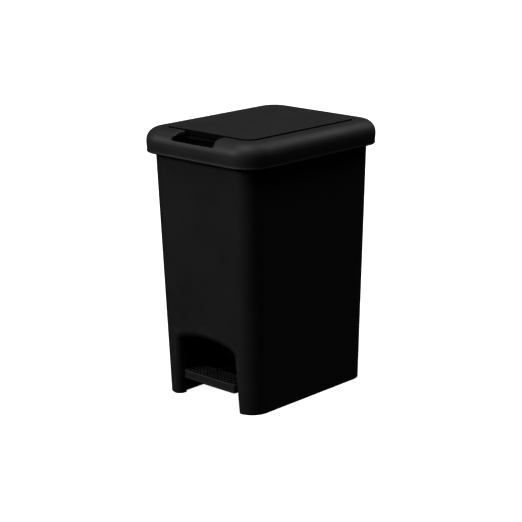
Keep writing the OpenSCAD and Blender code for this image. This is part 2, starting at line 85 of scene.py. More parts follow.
COLLAR_H = 40.0
COLLAR_Z = COLLAR_TOP - COLLAR_H
COLLAR_R = 44.0
DOME_R = 22.0
DOME_Z = COLLAR_TOP - DOME_R
OPENING_W = 93.4
OPENING_L = 130.3
OPENING_R = 21.0
LEDGE_Z = 430.0
DECK_Z = 404.0
MOUTH_W = 84.0
MOUTH_FRONT = -121.0
WELL_FRONT = 88.0
MOUTH_R = 16.0
WALL = 2.5
FLOOR_UNDER = 58.0
FLOOR_TOP = 61.0
FOOT_W = 99.5
FOOT_L = 138.5
FOOT_SHIFT = 9.0
FOOT_R = 30.0
RIM_R = 32.5
RECESS_HALF = 58.5
RECESS_SPREAD = 5.0
RECESS_SPRING = 96.0
RECESS_TOP = 106.5
RECESS_LIP = 11.0
RECESS_SHOULDER = 11.0
RECESS_BACK = -62.0


# ---------- materials ----------

EDGE_WEAR = (0.54, 0.62)
COAT_WEAR = (0.53, 0.6)
GRAIN_SIZE = 0.7
GRAIN_DEPTH = 0.00001
SLOW_DEPTH = 0.00025
SCRATCH_DEPTH = 0.000004
# Painted shade: tone factor inside the shade boxes; the sheen and specular factors make the same boxes really
# matt.
PAINTED_SHADE_TONE = 0.2
DULL_SHEEN = 0.35
DULL_SPECULAR = 0.15
# Painted highlights: tone factors for the pale bands on the tread's edges and the pale tops of the rubber
# dashes.
HIGHLIGHT_TONE = 2.6
RUBBER_HIGHLIGHT_TONE = 0.03


class Nodes:
    """Short hand for building a node tree."""

    def __init__(self, name):
        self.material = bpy.data.materials.new(name)
        self.material.use_nodes = True
        self.tree = self.material.node_tree
        self.shader = self.tree.nodes["Principled BSDF"]

    def add(self, kind, **values):
        node = self.tree.nodes.new(kind)
        for key, value in values.items():
            if hasattr(node, key) and key not in node.inputs:
                setattr(node, key, value)
            else:
                node.inputs[key].default_value = value
        return node

    def join(self, source, target):
        self.tree.links.new(source, target)

    def coords(self):
        return self.add("ShaderNodeTexCoord").outputs["Object"]

    def noise(self, scale, detail=3.0, rough=0.55, stretch=None):
        texture = self.add("ShaderNodeTexNoise", Scale=scale, Detail=detail, Roughness=rough)
        source = self.coords()
        if stretch:
            mapping = self.add("ShaderNodeMapping", Scale=stretch)
            self.join(source, mapping.inputs["Vector"])
            source = mapping.outputs["Vector"]
        self.join(source, texture.inputs["Vector"])
        return texture.outputs["Fac"]

    def span(self, source, low, high, start=0.0, end=1.0):
        """Maps low..high of a value to start..end."""
        node = self.add("ShaderNodeMapRange")
        for key, value in zip(("From Min", "From Max", "To Min", "To Max"), (low, high, start, end)):
            node.inputs[key].default_value = value
        self.join(source, node.inputs["Value"])
        return node.outputs["Result"]

    def math(self, operation, first, second):
        node = self.add("ShaderNodeMath", operation=operation)
        for socket, value in zip(node.inputs, (first, second)):
            if isinstance(value, (int, float)):
                socket.default_value = value
            else:
                self.join(value, socket)
        return node.outputs[0]

    def blend(self, factor, first, second):
        """Mixes two colours, each a tuple or a socket, by a factor."""
        node = self.add("ShaderNodeMix", data_type="RGBA")
        self.join(factor, node.inputs[0])
        for socket, value in zip((node.inputs[6], node.inputs[7]), (first, second)):
            if isinstance(value, tuple):
                socket.default_value = (*value, 1.0)
            else:
                self.join(value, socket)
        return node.outputs[2]

    def bump(self, heights):
        """Chains bumps given as (height socket, depth in metres)."""
        previous = None
        for height, depth in heights:
            node = self.add("ShaderNodeBump", Strength=1.0, Distance=depth)
            self.join(height, node.inputs["Height"])
            if previous:
                self.join(previous, node.inputs["Normal"])
            previous = node.outputs["Normal"]
        self.join(previous, self.shader.inputs["Normal"])


def grey(value):
    return (value, value, value * 1.03)


def inside(n, low, high, soft=0.4):
    """Mask that is one inside a box given in millimetres and fades out over its faces."""
    split = n.add("ShaderNodeSeparateXYZ")
    n.join(n.coords(), split.inputs[0])
    mask = 1.0
    for value, start, end in zip(split.outputs, low, high):
        rise = n.span(value, (start - soft) * MM, start * MM)
        fall = n.span(value, end * MM, (end + soft) * MM, 1.0, 0.0)
        mask = n.math("MULTIPLY", n.math("MULTIPLY", rise, fall), mask)
    return mask


def plastic(name, tone, roughness, scuff=0.3, shade_and_matt=None, painted_highlights=()):
    """Injection-moulded plastic: fine eroded grain, slow sheen change, dulled edges and light scuffs.

    matt is a box in millimetres, with an optional soft edge, where the moulding is painted dark as painted
    shade and made rougher and less glossy;
    rubbed lists boxes painted pale as painted highlights.
    """
    specular = 0.3
    n = Nodes(name)
    grain = n.noise(1.0 / (GRAIN_SIZE * MM), detail=2.0)
    flow = n.noise(7.0, detail=3.0)
    cloud = n.noise(38.0, detail=4.0)
    wear = n.span(n.add("ShaderNodeNewGeometry").outputs["Pointiness"], *EDGE_WEAR)
    patchy = n.math("MULTIPLY", wear, n.span(n.noise(160.0, detail=5.0), 0.42, 0.62))
    scratches = n.span(n.noise(300.0, detail=4.0, rough=0.7, stretch=(1.0, 1.0, 0.08)), 0.66, 0.74)
    tint = n.blend(n.span(cloud, 0.35, 0.65), grey(tone * 0.9), grey(tone * 1.1))
    tint = n.blend(n.math("MULTIPLY", patchy, scuff), tint, grey(tone * 2.4 + 0.01))
    # Painted highlights: each box lightens the tint into a pale band.
    for box in painted_highlights:
        highlight_area = n.math("MULTIPLY", inside(n, *box), n.span(cloud, 0.3, 0.7, 0.7, 1.0))
        tint = n.blend(highlight_area, tint, grey(HIGHLIGHT_TONE * tone))
    sheen = n.span(flow, 0.3, 0.7, roughness - 0.04, roughness + 0.05)
    sheen = n.math("ADD", sheen, n.math("MULTIPLY", scratches, 0.05))
    sheen = n.math("ADD", sheen, n.math("MULTIPLY", grain, 0.04))
    n.shader.inputs["Specular IOR Level"].default_value = specular
    # Painted shade: the box darkens the tint where shade falls; its added roughness and lower specular are a
    # real matt finish.
    if shade_and_matt:
        dull = inside(n, *shade_and_matt)
        tint = n.blend(dull, tint, grey(PAINTED_SHADE_TONE * tone))
        sheen = n.math("ADD", sheen, n.math("MULTIPLY", dull, DULL_SHEEN))
        shine = n.span(dull, 0.0, 1.0, specular, DULL_SPECULAR * specular)
        n.join(shine, n.shader.inputs["Specular IOR Level"])
    n.join(tint, n.shader.inputs["Base Color"])
    n.join(sheen, n.shader.inputs["Roughness"])
    n.bump([(flow, SLOW_DEPTH), (grain, GRAIN_DEPTH), (scratches, SCRATCH_DEPTH)])
    return n.material


def rubber(name, tone, highlight_area):
    """Soft rubber: dull, speckled and slightly dusty, painted pale inside the worn box as a painted
    highlight.
    """
    n = Nodes(name)
    pores = n.noise(1400.0, detail=3.0)
    dust = n.noise(60.0, detail=5.0, rough=0.7)
    # Painted highlight: the dash tops inside the box are painted pale.
    painted_highlights = n.math("MULTIPLY", inside(n, *highlight_area), n.span(dust, 0.3, 0.7, 0.75, 1.0))
    tint = n.blend(n.span(dust, 0.5, 0.75, 0.0, 0.35), grey(tone), grey(tone * 2.5))
    tint = n.blend(painted_highlights, tint, grey(RUBBER_HIGHLIGHT_TONE))
    n.join(tint, n.shader.inputs["Base Color"])
    n.join(n.span(dust, 0.3, 0.7, 0.62, 0.8), n.shader.inputs["Roughness"])
    n.join(n.span(painted_highlights, 0.0, 1.0, 0.0, 0.4), n.shader.inputs["Specular IOR Level"])
    n.bump([(pores, 0.00003)])
    return n.material


def zinc_steel(name):
    """Bright zinc-plated steel with drawing lines along its length and dull blotches."""
    n = Nodes(name)
    lines = n.noise(900.0, detail=2.0, stretch=(1.0, 1.0, 0.03))
    blotch = n.noise(90.0, detail=4.0)
    tint = n.blend(n.span(blotch, 0.35, 0.7), (0.6, 0.61, 0.63), (0.42, 0.43, 0.46))
    n.join(tint, n.shader.inputs["Base Color"])
    n.join(n.span(lines, 0.3, 0.7, 0.26, 0.42), n.shader.inputs["Roughness"])
    n.shader.inputs["Metallic"].default_value = 1.0
    n.bump([(lines, 0.00001)])
    return n.material


def powder_coat(name, tone):
    """Black powder coat on pressed steel: orange-peel surface with scuffed edges."""
    n = Nodes(name)
    peel = n.noise(420.0, detail=2.0)
    wear = n.span(n.add("ShaderNodeNewGeometry").outputs["Pointiness"], *COAT_WEAR)
    wear = n.math("MULTIPLY", wear, n.span(n.noise(220.0, detail=5.0), 0.45, 0.6))
    n.join(n.blend(wear, grey(tone), (0.2, 0.2, 0.21)), n.shader.inputs["Base Color"])
    n.join(n.span(peel, 0.3, 0.7, 0.36, 0.5), n.shader.inputs["Roughness"])
    n.shader.inputs["Specular IOR Level"].default_value = 0.4
    n.bump([(peel, 0.00003)])
    return n.material


def nylon(name):
    """Natural nylon: off-white, waxy, faintly mottled."""
    n = Nodes(name)
    mottle = n.noise(120.0, detail=4.0)
    tint = n.blend(n.span(mottle, 0.35, 0.65), (0.72, 0.7, 0.64), (0.6, 0.58, 0.52))
    n.join(tint, n.shader.inputs["Base Color"])
    n.join(n.span(mottle, 0.3, 0.7, 0.34, 0.46), n.shader.inputs["Roughness"])
    n.shader.inputs["Subsurface Weight"].default_value = 0.08
    n.shader.inputs["Subsurface Scale"].default_value = 0.002
    n.bump([(n.noise(700.0), 0.00001)])
    return n.material


def pale_floor(name):
    """Matt white studio floor that stays light in the can's own shadow."""
    n = Nodes(name)
    speckle = n.noise(60.0, detail=4.0)
    n.join(n.blend(speckle, (0.84, 0.84, 0.84), (0.88, 0.88, 0.88)), n.shader.inputs["Base Color"])
    n.join(n.span(speckle, 0.3, 0.7, 0.75, 0.85), n.shader.inputs["Roughness"])
    n.shader.inputs["Specular IOR Level"].default_value = 0.1
    n.shader.inputs["Emission Color"].default_value = (1.0, 1.0, 1.0, 1.0)
    n.shader.inputs["Emission Strength"].default_value = FLOOR_GLOW
    return n.material


# Boxes in millimetres where a material changes: low corner, high corner and, if given, a soft edge. The first
# four hold painted shade, the others painted highlights.
# Painted shade inside the collar's finger-notch pocket and the hollow behind it.
NOTCH_SHADE = ((-45.0, -159.5, 405.0), (45.0, -120.0, 433.0))
# Painted shade on the lid panel's sides and underside, up to 0.75 mm under its top.
LID_EDGE_SHADE = ((-200.0, -200.0, 430.0), (200.0, 200.0, lid_high.z - 0.75))
# Painted shade inside the pedal recess.
RECESS_SHADE = ((-70.0, -114.0, -5.0), (70.0, -58.0, 112.0), 3.0)
# Painted shadow line along the tread's lowest 2 mm.
TREAD_UNDER_SHADOW = ((-70.0, -150.0, 0.0), (70.0, -60.0, tread_low.z + 2.0))
# Painted highlight lines along the tread front's top and bottom edges.
TREAD_EDGE_HIGHLIGHTS = (
    ((-70.0, -150.0, tread_high.z - 1.0), (70.0, tread_low.y + 1.0, tread_high.z + 1.0), 0.3),
    ((-70.0, -150.0, tread_low.z + 2.6), (70.0, tread_low.y + 1.0, tread_low.z + 3.4), 0.3),
)
# Painted highlights on the tops of the rubber pad's dashes.
DASH_TOP_HIGHLIGHTS = ((-70.0, -150.0, pad_high.z - 0.35), (70.0, -60.0, pad_high.z + 5.0), 0.1)
MATERIALS = {
    "shell_plastic": plastic("shell_plastic", 0.0105, 0.5, shade_and_matt=RECESS_SHADE),
    "collar_plastic": plastic("collar_plastic", 0.017, 0.5, shade_and_matt=NOTCH_SHADE),
    "lid_plastic": plastic("lid_plastic", 0.0165, 0.5, shade_and_matt=LID_EDGE_SHADE),
    "tread_plastic": plastic("tread_plastic", 0.014, 0.42, scuff=0.6, shade_and_matt=TREAD_UNDER_SHADOW, painted_highlights=TREAD_EDGE_HIGHLIGHTS),
    "painted_steel": powder_coat("painted_steel", 0.015),
    "zinc_steel": zinc_steel("zinc_steel"),
    "white_nylon": nylon("white_nylon"),
    "pad_rubber": rubber("pad_rubber", 0.0015, DASH_TOP_HIGHLIGHTS),
}


# ---------- mesh helpers ----------

def metres(point):
    return tuple(value * MM for value in point)


def ring(half_w, half_l, radius, z, shift_y=0.0, front=(), corner=18):
    """Closed rounded-rectangle loop, anticlockwise from the front's left end; front lists extra x places."""
    flat = half_w - radius
    deep = half_l - radius
    points = [(x, -half_l) for x in front]
    for sx, sy, start in ((1, -1, -90), (1, 1, 0), (-1, 1, 90), (-1, -1, 180)):
        for step in range(corner + 1):
            angle = math.radians(start + 90.0 * step / corner)
            points.append((sx * flat + radius * math.cos(angle), sy * deep + radius * math.sin(angle)))
    return [(x, y + shift_y, z) for x, y in points]


def loft(rings, closed=False):
    """Vertices and faces of a skin over loops of equal length, capped at both ends unless closed."""
    count = len(rings[0])
    verts = [point for loop in rings for point in loop]
    faces = []
    pairs = len(rings) if closed else len(rings) - 1
    for i in range(pairs):
        low = i * count
        high = ((i + 1) % len(rings)) * count
        for j in range(count):
            k = (j + 1) % count
            faces.append((low + j, low + k, high + k, high + j))
    if not closed:
        last = (len(rings) - 1) * count
        faces.append(tuple(reversed(range(count))))
        faces.append(tuple(range(last, last + count)))
    return verts, faces


def mesh_object(verts, faces, name="tool"):
    mesh = bpy.data.meshes.new(name)
    mesh.from_pydata([metres(v) for v in verts], [], faces)
    mesh.validate()
    built = bpy.data.objects.new(name, mesh)
    bpy.context.scene.collection.objects.link(built)
    return built


def edit(built, change=None):
    """Runs a bmesh edit on an object's mesh, if one is given, and turns all its faces outwards."""
    work = bmesh.new()
    work.from_mesh(built.data)
    if change:
        change(work)
    bmesh.ops.recalc_face_normals(work, faces=work.faces)
    work.to_mesh(built.data)
    work.free()
    built.data.update()


def bake_modifiers(built):
    graph = bpy.context.evaluated_depsgraph_get()
    graph.update()
    result = bpy.data.meshes.new_from_object(built.evaluated_get(graph))
    built.modifiers.clear()
    old = built.data
    built.data = result
    bpy.data.meshes.remove(old)


def combine(base, tool, operation):
    """Boolean of two objects, kept in base; the tool is removed."""
    modifier = base.modifiers.new("combine", "BOOLEAN")
    modifier.operation = operation
    modifier.solver = "EXACT"
    modifier.object = tool
    bake_modifiers(base)
    bpy.data.objects.remove(tool)
    return base


def cut(base, *tools):
    for tool in tools:
        combine(base, tool, "DIFFERENCE")
    return base


def fuse(base, *tools):
    for tool in tools:
        combine(base, tool, "UNION")
    return base


def block(low, high):
    (x0, y0, z0), (x1, y1, z1) = low, high
    rings = [[(x0, y0, z), (x1, y0, z), (x1, y1, z), (x0, y1, z)] for z in (z0, z1)]
    return mesh_object(*loft(rings))


def prism(half_w, half_l, radius, z0, z1, shift_y=0.0, corner=18):
    rings = [ring(half_w, half_l, radius, z, shift_y, corner=corner) for z in (z0, z1)]
    return mesh_object(*loft(rings))


def circle(radius, sides):
    angles = [2 * math.pi * i / sides for i in range(sides)]
    return [(radius * math.cos(angle), radius * math.sin(angle)) for angle in angles]


def round_bar(start, axis, radius, length):
    """Cylinder tool along X or Z from the middle of its first end; a negative length runs backwards."""
    loops = []
    for along in (0.0, length):
        offsets = [(along, a, b) if axis == "x" else (a, b, along) for a, b in circle(radius, 32)]
        loops.append([tuple(c + o for c, o in zip(start, offset)) for offset in offsets])
    bar = mesh_object(*loft(loops))
    edit(bar)
    return bar


def soften(built, width, segments=3, angle=40.0):
    """Small rounded edges on every sharp corner."""
    modifier = built.modifiers.new("soften", "BEVEL")
    modifier.width = width * MM
    modifier.segments = segments
    modifier.limit_method = "ANGLE"
    modifier.angle_limit = math.radians(angle)
    modifier.use_clamp_overlap = True
    modifier.harden_normals = False
    bake_modifiers(built)


def even_shading(built):
    """Lets the large flat faces set the shading of their rounded borders."""
    modifier = built.modifiers.new("even", "WEIGHTED_NORMAL")
    modifier.mode = "FACE_AREA"
    modifier.weight = 100
    modifier.keep_sharp = True
    bake_modifiers(built)


def finish_piece(built, node, name=None, angle=38.0):
    """Names and shades a piece, gives it its material, and lets it ride and stand for its CAD node."""
    built.name = name or "visual_" + node
    built.data.name = built.name
    built.data.shade_smooth()
    built.data.set_sharp_from_angle(angle=math.radians(angle))
    even_shading(built)
    slot = SLOT_OF[node]
    built.data.materials.clear()
    built.data.materials.append(MATERIALS[slot])
    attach(built, BODY_OF[node])
    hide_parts(node)


def from_cad(node, width, segments):
    """Copy of a CAD node with its facets merged and its edges softened."""
    built = bpy.data.objects.new("visual_" + node, NODES[node].data.copy())
    bpy.context.scene.collection.objects.link(built)

    def clean(work):
        bmesh.ops.remove_doubles(work, verts=work.verts, dist=0.002 * MM)
        bmesh.ops.dissolve_limit(work, angle_limit=math.radians(0.5), verts=work.verts, edges=work.edges)

    edit(built, clean)
    soften(built, width, segments)
    return built


# ---------- collar ----------

NOTCH_HALF = 41.5
NOTCH_EDGE = 2.6
NOTCH_FILLET = 1.5
NOTCH_LIP = 426.4
NOTCH_LIP_START = 1.9
NOTCH_WALL = 4.0
NOTCH_FLOOR = 413.0
NOTCH_UNDER = 410.8
KNUCKLE_START = 91.5
KNUCKLE_R = 1.5
ROD_HOLE_R = 7.0
CROWN_DROP = 1.3
CROWN_RETURN = 0.25
OPENING_LIP = 2.2
STRIP_END = COLLAR_L - OPENING_L
SKIRT_T = 3.0

# The notch's surface: how far it falls, and over which depths from the collar's front.
LIP_FALL = 0.45
LIP_ROUND, LIP_ROUND_DEPTH = 0.5, 0.9
POCKET_STEP = 0.5
RAIL_FACE = (28.5, 29.1)
RAIL_ROUND, RAIL_ROUND_DEPTH = 0.5, 0.7

# The skirt's section as (depth, rise), and the depths where the collar's upper surface has edges.
SKIRT_EDGE = (
    (3.0, 0.6), (2.6, 0.15), (2.0, 0.0), (1.2, 0.2), (0.55, 0.8), (0.3, 1.6),
    (0.42, 2.4), (0.75, 3.2), (0.8, 4.6), (0.5, 8.0), (0.2, 11.0), (0.0, 14.0),
)
DOME_ANGLES = range(5, 90, 5)
NOTCH_LIP_DEPTHS = (0.004, 1.3, 1.45, 1.6, 1.75, 1.9, 2.3, 3.1, 3.4, 3.7, 4.0, 4.1, 4.2, 4.3, 4.4, 4.5, 5.0)
POCKET_DEPTHS = (13.0, 20.0, DOME_R, 25.0)
RAIL_DEPTHS = (27.0, 28.4, 28.5, 28.65, 28.8, 28.95, 29.1, 29.4)
STRIP_HEIGHTS = (436.0, 433.0, 430.0, 428.0, 416.0, DECK_Z + 0.5)


def collar_outline(depth):
    """Half width, half length and corner radius of the collar's outline, a depth in from its widest line."""
    if depth <= DOME_R:
        return COLLAR_W - depth, COLLAR_L - depth, COLLAR_R - depth
    t = (depth - DOME_R) / (STRIP_END - DOME_R)
    half_w = (COLLAR_W - DOME_R) * (1 - t) + OPENING_W * t
    return half_w, COLLAR_L - depth, OPENING_R


def dome_height(depth):
    """Height of the collar's upper surface: a quarter round that eases up to the lid's opening."""
    reach = min(depth, DOME_R)
    round_top = math.sqrt(max(DOME_R ** 2 - (DOME_R - reach) ** 2, 0.0))
    easing = CROWN_DROP * (1 - CROWN_RETURN * min(max(depth / STRIP_END, 0.0), 1.0) ** 2)
    return DOME_Z + round_top * (1 - easing / DOME_R)


def smooth_step(value, low, high):
    t = min(max((value - low) / (high - low), 0.0), 1.0)
    return t * t * (3 - 2 * t)


def notch_height(depth, height):
    """Height of the collar's surface in the finger notch: cut-down front, pocket and rear rail."""
    lip = NOTCH_LIP - LIP_ROUND * smooth_step(depth, NOTCH_WALL - LIP_ROUND_DEPTH, NOTCH_WALL) ** 2
    level = lip - (NOTCH_LIP - NOTCH_FLOOR) * smooth_step(depth, NOTCH_WALL, NOTCH_WALL + POCKET_STEP)
    level += (LEDGE_Z - level) * smooth_step(depth, *RAIL_FACE)
    level -= RAIL_ROUND * smooth_step(depth, STRIP_END - RAIL_ROUND_DEPTH, STRIP_END)
    if depth < NOTCH_LIP_START:
        level -= LIP_FALL * (1 - depth / NOTCH_LIP_START)
    return min(level, height)


def collar_profile():
    """Closed cross-section as (depth, height, height in the notch, sideways growth of the notch)."""
    outer = [(depth, COLLAR_Z + rise) for depth, rise in SKIRT_EDGE]
    depths = {DOME_R * (1 - math.cos(math.radians(a))) for a in DOME_ANGLES}
    depths.update(NOTCH_LIP_DEPTHS, POCKET_DEPTHS, RAIL_DEPTHS)
    outer += [(depth, dome_height(depth)) for depth in sorted(depths)]
    lip = OPENING_LIP
    crown = dome_height(STRIP_END)
    for a in (0, 18, 36, 54, 72, 90):
        turn = math.radians(a)
        outer.append((STRIP_END - lip + lip * math.sin(turn), crown - lip + lip * math.cos(turn)))
    outer += [(STRIP_END, z) for z in STRIP_HEIGHTS]
    outer.append((STRIP_END - 0.4, DECK_Z))
    profile = [(depth, z, notch_height(depth, z), 0.0) for depth, z in outer]
    back, under = 28.8, COLLAR_TOP - SKIRT_T
    inner = [(back + 0.4, DECK_Z), (back, DECK_Z + 0.4), (back, 420.0), (back, 432.0), (back, under)]
    inner += [(25.6, under - 0.6)]
    for a in range(90, -1, -15):
        turn = math.radians(a)
        reach = DOME_R - SKIRT_T
        inner.append((DOME_R - reach * math.cos(turn), DOME_Z - 1 + reach * math.sin(turn)))
    inner += [(SKIRT_T, 410.0)]
    profile += [(depth, z, min(z, NOTCH_UNDER), WALL) for depth, z in inner]
    return profile


def notch_stations(height, low, grow):
    """(x, z) places from the notch's middle outwards: floor, steep end wall and its rounded top."""
    fall = max(height - low, 0.0)
    side = NOTCH_HALF + grow
    fillet = min(NOTCH_FILLET, 0.3 * fall)
    edge = min(NOTCH_EDGE, 0.6 * fall)
    places = [(x, low) for x in (8.0, 18.0, 27.0)]
    for step in range(6):
        turn = math.radians(90.0 * step / 5)
        places.append((side - 0.5 - NOTCH_FILLET * (1 - math.sin(turn)), low + fillet * (1 - math.cos(turn))))
    for step in range(13):
        turn = math.radians(90.0 * step / 12)
        places.append((side + NOTCH_EDGE * (1 - math.cos(turn)), height - edge + edge * math.sin(turn)))
    return places + [(55.0, height), (70.0, height)]


def behind_pocket(y0, y1):
    """Tool that opens the notch's pocket to the dark hollow under the rail."""
    reach = NOTCH_HALF - 0.5
    return block((-reach, y0, NOTCH_FLOOR + 0.3), (reach, y1, LEDGE_Z - WALL))


def build_collar_skin():
    rings = []
    for depth, z, low, grow in collar_profile():
        half_w, half_l, radius = collar_outline(depth)
        right = notch_stations(z, low, grow)
        front = [(-x, h) for x, h in reversed(right)] + right
        loop = ring(half_w, half_l, radius, z, front=[x for x, _ in front])
        for i, (x, h) in enumerate(front):
            loop[i] = (x, -half_l, h)
        rings.append(loop)
    built = mesh_object(*loft(rings, closed=True))
    edit(built)
    return cut(built, behind_pocket(-OPENING_L - 4, -OPENING_L + 2))


def build_collar_inner():
    """Ledge, mouth funnel and hinge well, with the hinge knuckles."""
    gap = 0.05
    mouth_mid = (MOUTH_FRONT + WELL_FRONT) / 2
    mouth_half = (WELL_FRONT - MOUTH_FRONT) / 2
    inner = prism(OPENING_W - gap, OPENING_L - gap, OPENING_R, DECK_Z, LEDGE_Z)
    hollow = prism(OPENING_W + 5, OPENING_L + 5, OPENING_R, DECK_Z - 1, LEDGE_Z - WALL)
    cut(hollow, prism(MOUTH_W + WALL, mouth_half + WALL, MOUTH_R + WALL, DECK_Z - 2, LEDGE_Z, mouth_mid))
    cut(hollow, block((-120, WELL_FRONT, DECK_Z - 2), (120, 170, LEDGE_Z)))
    well = block(
        (-OPENING_W - 5, WELL_FRONT + WALL, DECK_Z + WALL), (OPENING_W + 5, OPENING_L + 5, LEDGE_Z + 5)
    )
    cut(inner, hollow, prism(MOUTH_W, mouth_half, MOUTH_R, DECK_Z - 1, LEDGE_Z + 1, mouth_mid), well)
    cut(inner, round_bar((0, ROD_Y, DECK_Z - 1), "z", ROD_HOLE_R, 6.0))
    cut(inner, behind_pocket(-OPENING_L - 3, MOUTH_FRONT - WALL - 1))
    soften(inner, 0.6, 3)
    for side in (-1, 1):
        start = (side * KNUCKLE_START, pin_mid.y, pin_mid.z)
        fuse(inner, round_bar(start, "x", KNUCKLE_R, side * (OPENING_W + 1.0 - KNUCKLE_START)))
    return inner


finish_piece(build_collar_skin(), "collar_ring", "collar_skin", angle=50.0)
finish_piece(build_collar_inner(), "collar_ring", "collar_mouth")


# ---------- lid ----------

LID_EASE = 0.9
LID_W = lid_high.x - LID_EASE
LID_L = lid_high.y - LID_EASE
LID_R = OPENING_R - 1.3 - LID_EASE
LID_CROWN = 0.3
LID_BORDER_Z = lid_high.z - LID_CROWN
LID_ROUND = 0.7
LID_RIM = 2.2
LID_UNDER = lid_high.z - 2.8
CROWN_DEPTHS = (3.5, 7.0, 14.0, 26.0, 42.0, 60.0, 76.0)
NECK_X = 90.2
LID_BORES = ((pin_low.x - 1, NECK_X, 2.0), (NECK_X - 0.1, LID_W + 1, 0.75))


def lid_profile():
    """Section as (depth, height): under the skin, down inside the rim, up its outside and over the top."""
    low = lid_low.z
    profile = [(40.0, LID_UNDER), (LID_RIM + 0.8, LID_UNDER), (LID_RIM, lid_high.z - 3.6)]
    profile += [(LID_RIM, low + 0.3), (LID_RIM - 0.3, low)]
    profile += [(1.3, low), (1.0, low + 0.4), (1.0, LID_BORDER_Z - 4.2)]
    for a in (0, 15, 30, 45, 60, 75, 90):
        turn = math.radians(a)
        rise = LID_ROUND * math.sin(turn) - LID_ROUND
        profile.append((LID_ROUND * (1 - math.cos(turn)), LID_BORDER_Z + rise))
    for depth in CROWN_DEPTHS:
        rise = 1 - (1 - depth / CROWN_DEPTHS[-1]) ** 2
        profile.append((depth, LID_BORDER_Z + LID_CROWN * rise))
    return profile


def build_lid_panel():
    rings = [ring(LID_W - d, LID_L - d, max(LID_R - d, 2.0), z) for d, z in lid_profile()]
    built = mesh_object(*loft(rings))
    edit(built)
    for side in (-1, 1):
        for start, end, bore in LID_BORES:
            cut(built, round_bar((side * start, pin_mid.y, pin_mid.z), "x", bore, side * (end - start)))
    return built


finish_piece(build_lid_panel(), "lid_panel", "lid_panel_shell", angle=50.0)


# ---------- body ----------

PAST_FRONT = 8.0
FRAME_REACH = RECESS_LIP + 1.5
FRAME_TOP = 130.0
SLOT_H = 3.0
ROD_CLEARANCE_R = 6.0
CELL = 13.0


def along_body(bottom, top, z):
    return bottom + (top - bottom) * z / RIM_Z


def shell_ring(z, inset):
    return ring(
        along_body(FOOT_W, RIM_W, z) - inset,
        along_body(FOOT_L, RIM_L, z) - inset,
        along_body(FOOT_R, RIM_R, z) - inset,
        z,
        along_body(FOOT_SHIFT, 0.0, z),
        corner=24,
    )


def shell_block(z0, z1, inset):
    return mesh_object(*loft([shell_ring(z0, inset), shell_ring(z1, inset)]))


def recess_path(grow, low=-1.0):
    """Outline of the arched recess in (x, z), up the right side, over the arch and down the left."""
    half = RECESS_HALF + grow
    shoulder = RECESS_SHOULDER + grow
    rise = RECESS_TOP - RECESS_SPRING
    radius = (half ** 2 + rise ** 2) / (2 * rise)
    centre_z = RECESS_TOP + grow - radius
    corner_x = half - shoulder
    corner_z = centre_z + math.sqrt((radius - shoulder) ** 2 - corner_x ** 2)
    tilt = math.atan2(corner_z - centre_z, corner_x)
    right = [(half + RECESS_SPREAD * (corner_z - low) / RECESS_SPRING, low)]
    for step in range(9):
        a = tilt * step / 8
        right.append((corner_x + shoulder * math.cos(a), corner_z + shoulder * math.sin(a)))
    for step in range(1, 13):
        a = tilt + (math.pi / 2 - tilt) * step / 12
        right.append((radius * math.cos(a), centre_z + radius * math.sin(a)))
    left = [(-x, z) for x, z in reversed(right[:-1])]
    return right + left


def recess_prism(path, y0, y1):
    return mesh_object(*loft([[(x, y, z) for x, z in path] for y in (y1, y0)]))


def behind_front(path, depth):
    """Places a recess outline at a depth behind the leaning front wall."""
    return [
        (x, along_body(FOOT_SHIFT, 0.0, z) - along_body(FOOT_L, RIM_L, z) + depth, z)
        for x, z in path
    ]


def recess_space():
    """The recess with its front edge flared into a full round."""
    rings = [[(x, RECESS_BACK, z) for x, z in recess_path(0.0)]]
    for a in range(90, -1, -9):
        turn = math.radians(a)
        depth = RECESS_LIP * (1 - math.cos(turn))
        rings.append(behind_front(recess_path(RECESS_LIP * (1 - math.sin(turn))), depth))
    rings.append(behind_front(recess_path(RECESS_LIP), -PAST_FRONT))
    return mesh_object(*loft(rings))


def recess_walls():
    """Side walls and roof of the recess, and the thicker frame that its rounded edge is cut from."""
    path = recess_path(FRAME_REACH, 0.0)
    frame_block = mesh_object(*loft([behind_front(path, depth) for depth in (FRAME_REACH, -PAST_FRONT)]))
    walls = recess_prism(recess_path(WALL, 0.0), -160, RECESS_BACK + WALL)
    fuse(walls, frame_block)
    return combine(walls, shell_block(0, FRAME_TOP, 0.02), "INTERSECT")


def build_body():
    body = shell_block(0, RIM_Z, 0)
    cut(body, shell_block(FLOOR_TOP, RIM_Z + 1, WALL), shell_block(-1, FLOOR_UNDER, WALL))
    fuse(body, recess_walls())
    under = block((-RECESS_HALF, RECESS_BACK - 1, -1), (RECESS_HALF, RECESS_BACK + WALL + 1, FLOOR_UNDER))
    cut(body, recess_space(), under)
    for side in (-1, 1):
        x = side * (RECESS_HALF + RECESS_SPREAD + WALL / 2)
        cut(body, block((x - 1.5 * WALL, -114, -1), (x + 1.5 * WALL, RECESS_BACK + WALL + 1, SLOT_H)))
    return cut(body, round_bar((0, ROD_Y, FLOOR_UNDER - 1), "z", ROD_CLEARANCE_R, 5.0))


def divide_walls(work):
    """Merges facets, then divides the walls into cells so that edge wear stays at the edges."""
    bmesh.ops.dissolve_limit(work, angle_limit=math.radians(0.2), verts=work.verts, edges=work.edges)
    reaches = (((0, 0, 1), 0.0, RIM_Z), ((1, 0, 0), -RIM_W, RIM_W), ((0, 1, 0), -RIM_L, RIM_L))
    for normal, low, high in reaches:
        normal = Vector(normal)
        place = low + CELL
        while place < high - 1:
            bmesh.ops.bisect_plane(
                work, geom=work.verts[:] + work.edges[:] + work.faces[:], dist=1e-6,
                plane_co=normal * place * MM, plane_no=normal,
            )
            place += CELL


body = build_body()
edit(body, divide_walls)
finish_piece(body, "body_shell", "body_moulding", angle=35.0)


